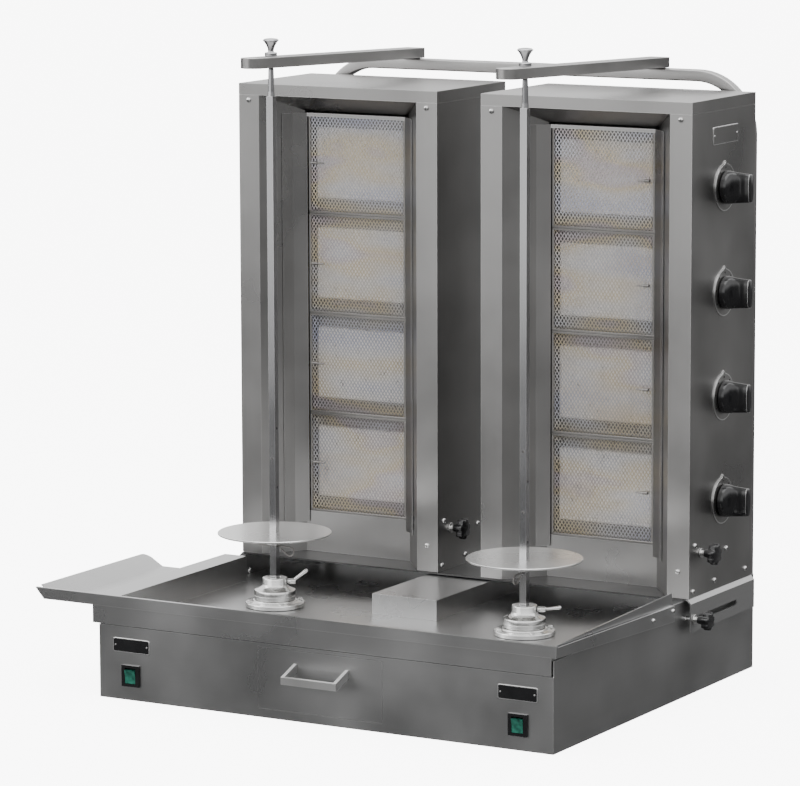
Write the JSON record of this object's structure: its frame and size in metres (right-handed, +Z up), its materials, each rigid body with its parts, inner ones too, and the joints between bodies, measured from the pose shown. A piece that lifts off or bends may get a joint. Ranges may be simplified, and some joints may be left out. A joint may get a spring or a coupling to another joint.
{
  "type": "vertical rotisserie broiler",
  "caption": "Countertop gas broiler with tall burner towers facing upright motor-driven spits, above a lipped drip tray with a side wing and a drawer.",
  "frame": {"origin": "middle of the flat underside of the cabinet, on the surface it stands on", "axes": "+Z up along the spits, +X to the object's right as seen from the front, +Y to the back; the front panel with the drawer faces -Y"},
  "size_m": [1.044, 0.789, 1.0954],
  "materials": {
    "brushed_steel": "brushed sheet stainless with folded edges",
    "tray_steel": "bright rolled stainless, lightly wiped",
    "satin_metal": "light satin metal",
    "turned_aluminium": "bright turned aluminium",
    "polished_rod": "polished stainless bar",
    "black_plastic": "glossy black thermoset",
    "green_lens": "dark green translucent rocker",
    "burner_ceramic": "perforated off-white tile behind a heat tinted screen",
    "brass_pipe": "drawn brass pipe and valves",
    "painted_drive": "grey painted gear motor"
  },
  "bodies": {
    "base": {"base_cabinet": "brushed_steel", "bottom_plate": "brushed_steel", "drip_tray": "tray_steel", "center_divider": "brushed_steel", "rear_frame_tube": "tray_steel", "left_support_arm": "brushed_steel", "left_switch_housing": "black_plastic", "left_spit_motor": "painted_drive", "left_bearing_flange": "turned_aluminium", "right_support_arm": "brushed_steel", "right_switch_housing": "black_plastic", "right_spit_motor": "painted_drive", "right_bearing_flange": "turned_aluminium"},
    "drawer": {"drawer_box": "brushed_steel", "drawer_front": "brushed_steel", "drawer_handle": "satin_metal"},
    "carriage": {"tower_carriage": "brushed_steel", "left_tower_casing": "brushed_steel", "left_tower_hood": "brushed_steel", "left_heat_shield": "brushed_steel", "left_gas_manifold": "brass_pipe", "left_burner_1": "burner_ceramic", "left_burner_2": "burner_ceramic", "left_burner_3": "burner_ceramic", "left_burner_4": "burner_ceramic", "right_tower_casing": "brushed_steel", "right_tower_hood": "brushed_steel", "right_heat_shield": "brushed_steel", "right_gas_manifold": "brass_pipe", "right_burner_1": "burner_ceramic", "right_burner_2": "burner_ceramic", "right_burner_3": "burner_ceramic", "right_burner_4": "burner_ceramic"},
    "left_switch": {"left_switch_rocker": "green_lens"},
    "left_spit": {"left_spit_hub": "turned_aluminium", "left_spit_rod": "polished_rod"},
    "left_lever": {"left_hub_lever": "turned_aluminium"},
    "left_disc": {"left_meat_disc": "satin_metal"},
    "left_clip": {"left_hairpin_clip": "polished_rod"},
    "left_pin": {"left_top_pin": "polished_rod"},
    "left_base_clamp": {"left_base_clamp_knob": "black_plastic"},
    "left_tower_clamp": {"left_tower_clamp_knob": "black_plastic"},
    "left_knob_1": {"left_gas_knob_1": "black_plastic"},
    "left_knob_2": {"left_gas_knob_2": "black_plastic"},
    "left_knob_3": {"left_gas_knob_3": "black_plastic"},
    "left_knob_4": {"left_gas_knob_4": "black_plastic"},
    "right_switch": {"right_switch_rocker": "green_lens"},
    "right_spit": {"right_spit_hub": "turned_aluminium", "right_spit_rod": "polished_rod"},
    "right_lever": {"right_hub_lever": "turned_aluminium"},
    "right_disc": {"right_meat_disc": "satin_metal"},
    "right_clip": {"right_hairpin_clip": "polished_rod"},
    "right_pin": {"right_top_pin": "polished_rod"},
    "right_base_clamp": {"right_base_clamp_knob": "black_plastic"},
    "right_tower_clamp": {"right_tower_clamp_knob": "black_plastic"},
    "right_knob_1": {"right_gas_knob_1": "black_plastic"},
    "right_knob_2": {"right_gas_knob_2": "black_plastic"},
    "right_knob_3": {"right_gas_knob_3": "black_plastic"},
    "right_knob_4": {"right_gas_knob_4": "black_plastic"}
  },
  "joints": [
    {"name": "drawer_slide", "type": "slide", "parent": "base", "child": "drawer", "axis": [0, -1, 0], "range_m": [0, 0.28]},
    {"name": "carriage_slide", "type": "slide", "parent": "base", "child": "carriage", "axis": [0, -1, 0], "range_m": [0, 0.045]},
    {"name": "left_switch_rock", "type": "hinge", "parent": "base", "child": "left_switch", "pos_m": [-0.367, -0.366, 0.042], "axis": [1, 0, 0], "range_deg": [-16, 0]},
    {"name": "left_spit_spin", "type": "hinge", "parent": "base", "child": "left_spit", "pos_m": [-0.241, -0.114, 0.141], "axis": [0, 0, 1], "continuous": true},
    {"name": "left_lever_turn", "type": "hinge", "parent": "left_spit", "child": "left_lever", "pos_m": [-0.241, -0.114, 0.1716], "axis": [0.9394, 0.3429, 0], "range_deg": [-60, 60]},
    {"name": "left_disc_lift", "type": "slide", "parent": "left_spit", "child": "left_disc", "axis": [0, 0, 1], "range_m": [0, 0.4]},
    {"name": "left_clip_pull", "type": "slide", "parent": "left_spit", "child": "left_clip", "axis": [1, 0, 0], "range_m": [0, 0.065]},
    {"name": "left_pin_lift", "type": "slide", "parent": "base", "child": "left_pin", "axis": [0, 0, 1], "range_m": [0, 0.012]},
    {"name": "left_base_clamp_turn", "type": "hinge", "parent": "base", "child": "left_base_clamp", "pos_m": [-0.43, 0.107, 0.1328], "axis": [-1, 0, 0], "range_deg": [0, 270]},
    {"name": "left_tower_clamp_turn", "type": "hinge", "parent": "carriage", "child": "left_tower_clamp", "pos_m": [-0.0425, 0.143, 0.2395], "axis": [1, 0, 0], "range_deg": [0, 270]},
    {"name": "left_gas_1_turn", "type": "hinge", "parent": "carriage", "child": "left_knob_1", "pos_m": [-0.438, 0.225, 0.3165], "axis": [-1, 0, 0], "range_deg": [0, 180]},
    {"name": "left_gas_2_turn", "type": "hinge", "parent": "carriage", "child": "left_knob_2", "pos_m": [-0.438, 0.225, 0.4935], "axis": [-1, 0, 0], "range_deg": [0, 180]},
    {"name": "left_gas_3_turn", "type": "hinge", "parent": "carriage", "child": "left_knob_3", "pos_m": [-0.438, 0.225, 0.6705], "axis": [-1, 0, 0], "range_deg": [0, 180]},
    {"name": "left_gas_4_turn", "type": "hinge", "parent": "carriage", "child": "left_knob_4", "pos_m": [-0.438, 0.225, 0.8475], "axis": [-1, 0, 0], "range_deg": [0, 180]},
    {"name": "right_switch_rock", "type": "hinge", "parent": "base", "child": "right_switch", "pos_m": [0.367, -0.366, 0.042], "axis": [1, 0, 0], "range_deg": [-16, 0]},
    {"name": "right_spit_spin", "type": "hinge", "parent": "base", "child": "right_spit", "pos_m": [0.241, -0.114, 0.141], "axis": [0, 0, 1], "continuous": true},
    {"name": "right_lever_turn", "type": "hinge", "parent": "right_spit", "child": "right_lever", "pos_m": [0.241, -0.114, 0.1716], "axis": [0.9689, 0.2474, 0], "range_deg": [-60, 60]},
    {"name": "right_disc_lift", "type": "slide", "parent": "right_spit", "child": "right_disc", "axis": [0, 0, 1], "range_m": [0, 0.4]},
    {"name": "right_clip_pull", "type": "slide", "parent": "right_spit", "child": "right_clip", "axis": [0, -1, 0], "range_m": [0, 0.065]},
    {"name": "right_pin_lift", "type": "slide", "parent": "base", "child": "right_pin", "axis": [0, 0, 1], "range_m": [0, 0.012]},
    {"name": "right_base_clamp_turn", "type": "hinge", "parent": "base", "child": "right_base_clamp", "pos_m": [0.43, 0.107, 0.1328], "axis": [1, 0, 0], "range_deg": [0, 270]},
    {"name": "right_tower_clamp_turn", "type": "hinge", "parent": "carriage", "child": "right_tower_clamp", "pos_m": [0.438, 0.143, 0.2395], "axis": [1, 0, 0], "range_deg": [0, 270]},
    {"name": "right_gas_1_turn", "type": "hinge", "parent": "carriage", "child": "right_knob_1", "pos_m": [0.438, 0.225, 0.3165], "axis": [1, 0, 0], "range_deg": [0, 180]},
    {"name": "right_gas_2_turn", "type": "hinge", "parent": "carriage", "child": "right_knob_2", "pos_m": [0.438, 0.225, 0.4935], "axis": [1, 0, 0], "range_deg": [0, 180]},
    {"name": "right_gas_3_turn", "type": "hinge", "parent": "carriage", "child": "right_knob_3", "pos_m": [0.438, 0.225, 0.6705], "axis": [1, 0, 0], "range_deg": [0, 180]},
    {"name": "right_gas_4_turn", "type": "hinge", "parent": "carriage", "child": "right_knob_4", "pos_m": [0.438, 0.225, 0.8475], "axis": [1, 0, 0], "range_deg": [0, 180]}
  ]
}
